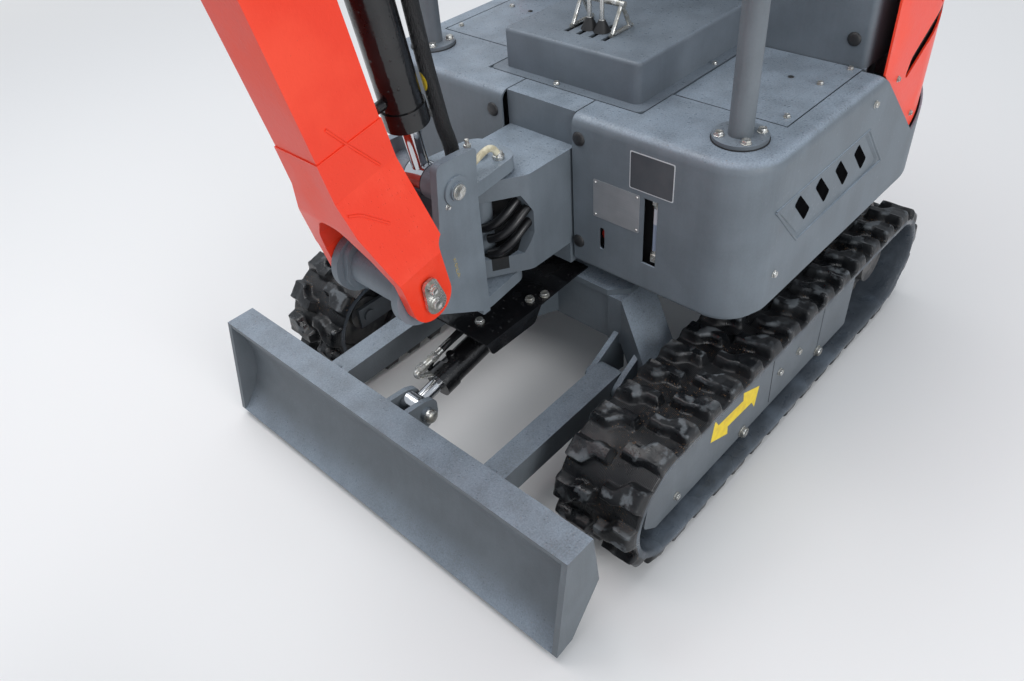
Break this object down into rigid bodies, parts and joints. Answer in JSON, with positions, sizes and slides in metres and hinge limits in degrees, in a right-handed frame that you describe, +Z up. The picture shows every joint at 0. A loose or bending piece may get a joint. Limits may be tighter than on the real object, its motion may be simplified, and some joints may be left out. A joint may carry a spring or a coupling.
{
  "type": "mini excavator",
  "caption": "Tracked mini excavator with a slewing house, canopy, swing boom, arm, bucket and a front dozer blade.",
  "frame": {"origin": "on the ground, under the middle of the machine's box as it stands", "axes": "+X towards the blade at the front, +Y to the machine's left, +Z up"},
  "size_m": [2.2124, 1.004, 2.29],
  "materials": {
    "black_paint": "gloss black paint",
    "black_plastic": "black moulded plastic",
    "cast_grey": "painted casting",
    "chrome": "hard chrome rod",
    "grey_cover": "dark grey textured sheet cover",
    "grey_paint": "dark grey textured powder coat",
    "hose_rubber": "hydraulic hose cover",
    "red_cover": "gloss red moulded cover",
    "red_paint": "gloss red paint on plate",
    "seat_vinyl": "black seat vinyl",
    "steel": "worn bare steel",
    "track_rubber": "moulded track rubber",
    "zinc": "zinc plated steel"
  },
  "bodies": {
    "undercarriage": {"chassis": "grey_paint", "chassis_legs_left": "grey_paint", "chassis_legs_right": "grey_paint", "tie_down_eye": "grey_paint", "slew_ring": "steel", "track_left": "track_rubber", "track_right": "track_rubber", "track_frame_left": "grey_paint", "track_frame_right": "grey_paint", "idler_left": "cast_grey", "idler_right": "cast_grey", "sprocket_left": "cast_grey", "sprocket_right": "cast_grey", "rollers_left": "cast_grey", "rollers_right": "cast_grey", "blade_ram_bracket": "grey_paint", "blade_ram_guard": "black_paint"},
    "blade": {"dozer_blade": "grey_paint"},
    "blade_cylinder": {"blade_barrel": "black_paint"},
    "blade_cylinder_rod": {"blade_rod": "chrome"},
    "house": {"house_frame": "grey_paint", "side_cover_left": "grey_cover", "side_cover_right": "grey_cover", "deck_plate_left": "grey_cover", "deck_plate_right": "grey_cover", "step_box": "grey_cover", "travel_levers": "zinc", "control_sticks": "black_plastic", "seat_box": "grey_cover", "seat_base": "black_paint", "seat_cushion": "seat_vinyl", "seat_back": "seat_vinyl", "engine": "cast_grey", "counterweight": "cast_grey", "rear_cover_left": "red_cover", "rear_cover_right": "red_cover", "canopy_posts": "grey_paint", "canopy_roof": "grey_paint"},
    "rear_door": {"rear_door": "red_cover"},
    "swing_bracket": {"swing_post": "grey_paint"},
    "boom": {"boom": "red_paint", "boom_pin_locks": "zinc", "boom_hoses": "hose_rubber"},
    "boom_cylinder": {"boom_barrel": "black_paint"},
    "boom_cylinder_rod": {"boom_rod": "chrome"},
    "arm": {"arm": "red_paint"},
    "arm_cylinder": {"arm_barrel": "black_paint"},
    "arm_cylinder_rod": {"arm_rod": "chrome"},
    "bucket_cylinder": {"bucket_barrel": "black_paint"},
    "bucket_cylinder_rod": {"bucket_rod": "chrome"},
    "rocker": {"rocker": "grey_paint"},
    "bucket_link": {"bucket_link": "grey_paint"},
    "bucket": {"bucket": "grey_paint"}
  },
  "joints": [
    {"name": "house_slew", "type": "hinge", "parent": "undercarriage", "child": "house", "pos_m": [-0.48175, 0, 0.374], "axis": [0, 0, 1], "continuous": true},
    {"name": "blade_lift", "type": "hinge", "parent": "undercarriage", "child": "blade", "pos_m": [-0.17775, 0, 0.178], "axis": [0, 1, 0], "range_deg": [-17, 20]},
    {"name": "blade_cylinder_pivot", "type": "hinge", "parent": "undercarriage", "child": "blade_cylinder", "pos_m": [-0.18175, 0, 0.277], "axis": [0, 1, 0], "range_deg": [-16.76, 19.55]},
    {"name": "blade_cylinder_stroke", "type": "slide", "parent": "blade_cylinder", "child": "blade_cylinder_rod", "axis": [0.982, 0, -0.1886], "range_m": [-0.02997, 0.03491]},
    {"name": "rear_door_hinge", "type": "hinge", "parent": "house", "child": "rear_door", "pos_m": [-1.10025, 0, 0.9025], "axis": [0, 1, 0], "range_deg": [0, 75]},
    {"name": "boom_swing", "type": "hinge", "parent": "house", "child": "swing_bracket", "pos_m": [-0.08975, 0, 0.424], "axis": [0, 0, 1], "range_deg": [-50, 50]},
    {"name": "boom_lift", "type": "hinge", "parent": "swing_bracket", "child": "boom", "pos_m": [0.14325, 0, 0.535], "axis": [0, 1, 0], "range_deg": [0, 105]},
    {"name": "boom_cylinder_pivot", "type": "hinge", "parent": "boom", "child": "boom_cylinder", "pos_m": [0.1302, 0, 1.28018], "axis": [0, 1, 0], "range_deg": [-3.98, 1]},
    {"name": "boom_cylinder_stroke", "type": "slide", "parent": "boom_cylinder", "child": "boom_cylinder_rod", "axis": [-0.1587, 0, -0.9873], "range_m": [-0.002, 0.2844]},
    {"name": "arm_crowd", "type": "hinge", "parent": "boom", "child": "arm", "pos_m": [0.82229, 0, 1.76973], "axis": [0, -1, 0], "range_deg": [0, 102]},
    {"name": "arm_cylinder_pivot", "type": "hinge", "parent": "boom", "child": "arm_cylinder", "pos_m": [0.1799, 0, 1.41009], "axis": [0, 1, 0], "range_deg": [-6.93, 1]},
    {"name": "arm_cylinder_stroke", "type": "slide", "parent": "arm_cylinder", "child": "arm_cylinder_rod", "axis": [0.8103, 0, 0.586], "range_m": [-0.28719, 0.002]},
    {"name": "bucket_curl", "type": "hinge", "parent": "arm", "child": "bucket", "pos_m": [0.80797, 0, 0.94985], "axis": [0, 1, 0], "range_deg": [0, 150]},
    {"name": "rocker_pivot", "type": "hinge", "parent": "arm", "child": "rocker", "pos_m": [0.81094, 0, 1.11983], "axis": [0, 1, 0], "range_deg": [-1, 80.63]},
    {"name": "link_pivot", "type": "hinge", "parent": "rocker", "child": "bucket_link", "pos_m": [0.99259, 0, 1.17555], "axis": [0, 1, 0], "range_deg": [-56.19, 1]},
    {"name": "bucket_cylinder_pivot", "type": "hinge", "parent": "arm", "child": "bucket_cylinder", "pos_m": [0.92965, 0, 1.61783], "axis": [0, 1, 0], "range_deg": [-1, 11.78]},
    {"name": "bucket_cylinder_stroke", "type": "slide", "parent": "bucket_cylinder", "child": "bucket_cylinder_rod", "axis": [0.1409, 0, -0.99], "range_m": [-0.002, 0.22264]}
  ],
  "couplings": [
    {"joint": "blade_cylinder_pivot", "follows": "blade_lift", "ratio": 0.9273},
    {"joint": "blade_cylinder_stroke", "follows": "blade_lift", "m_per_rad": 0.09428},
    {"joint": "boom_cylinder_pivot", "follows": "boom_lift", "ratio": -0.028429},
    {"joint": "boom_cylinder_stroke", "follows": "boom_lift", "m_per_rad": 0.1541},
    {"joint": "arm_cylinder_pivot", "follows": "arm_crowd", "ratio": -0.058111},
    {"joint": "arm_cylinder_stroke", "follows": "arm_crowd", "m_per_rad": -0.1602},
    {"joint": "rocker_pivot", "follows": "bucket_curl", "ratio": 0.53084},
    {"joint": "link_pivot", "follows": "bucket_curl", "ratio": -0.36797},
    {"joint": "bucket_cylinder_pivot", "follows": "bucket_curl", "ratio": 0.071844},
    {"joint": "bucket_cylinder_stroke", "follows": "bucket_curl", "m_per_rad": 0.084278}
  ]
}
